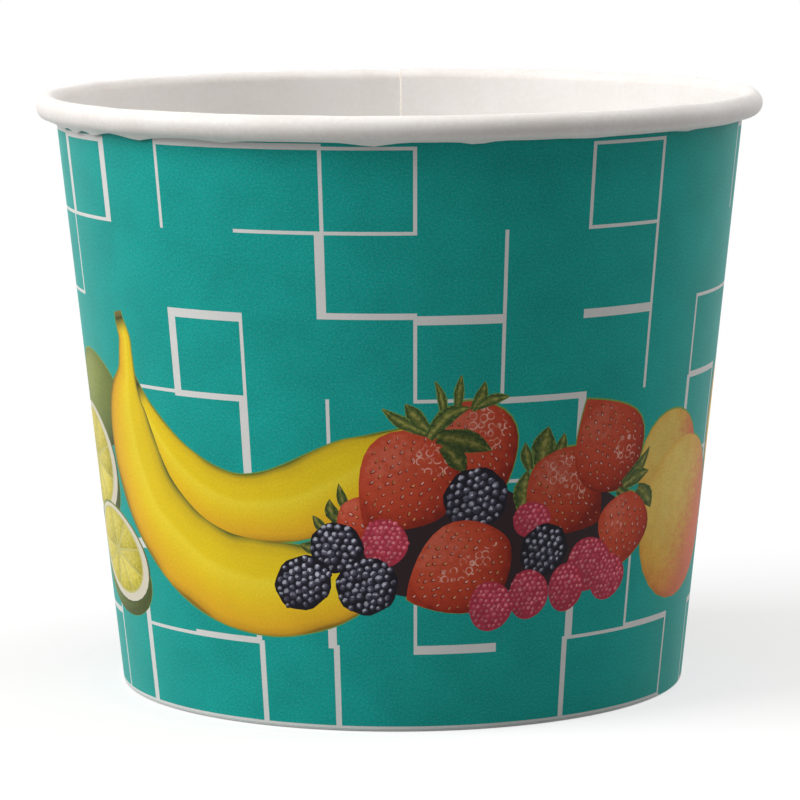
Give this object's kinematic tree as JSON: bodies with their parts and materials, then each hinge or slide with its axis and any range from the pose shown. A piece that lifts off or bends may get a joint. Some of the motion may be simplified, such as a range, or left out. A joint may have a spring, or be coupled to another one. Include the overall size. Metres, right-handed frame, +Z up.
{
  "type": "paper dessert cup",
  "caption": "Round tapered paper cup for desserts, with an outward rolled rim, a lapped side seam and a recessed board floor held in a folded hem at the foot.",
  "frame": {"origin": "centre of the foot ring, in the plane of the surface that the cup stands on", "axes": "+Z up along the cup's axis to its mouth; the glued side seam is at +Y, away from the viewer of the front; -Y is the printed front; +X to that viewer's right"},
  "size_m": [0.096, 0.096, 0.0785],
  "materials": {
    "printed_board": "satin coated board, printed outside in teal with white lines and fruit, plain white inside",
    "base_board": "satin coated white board"
  },
  "bodies": {
    "root": {"sidewall": "printed_board", "base_disc": "base_board"}
  },
  "joints": []
}
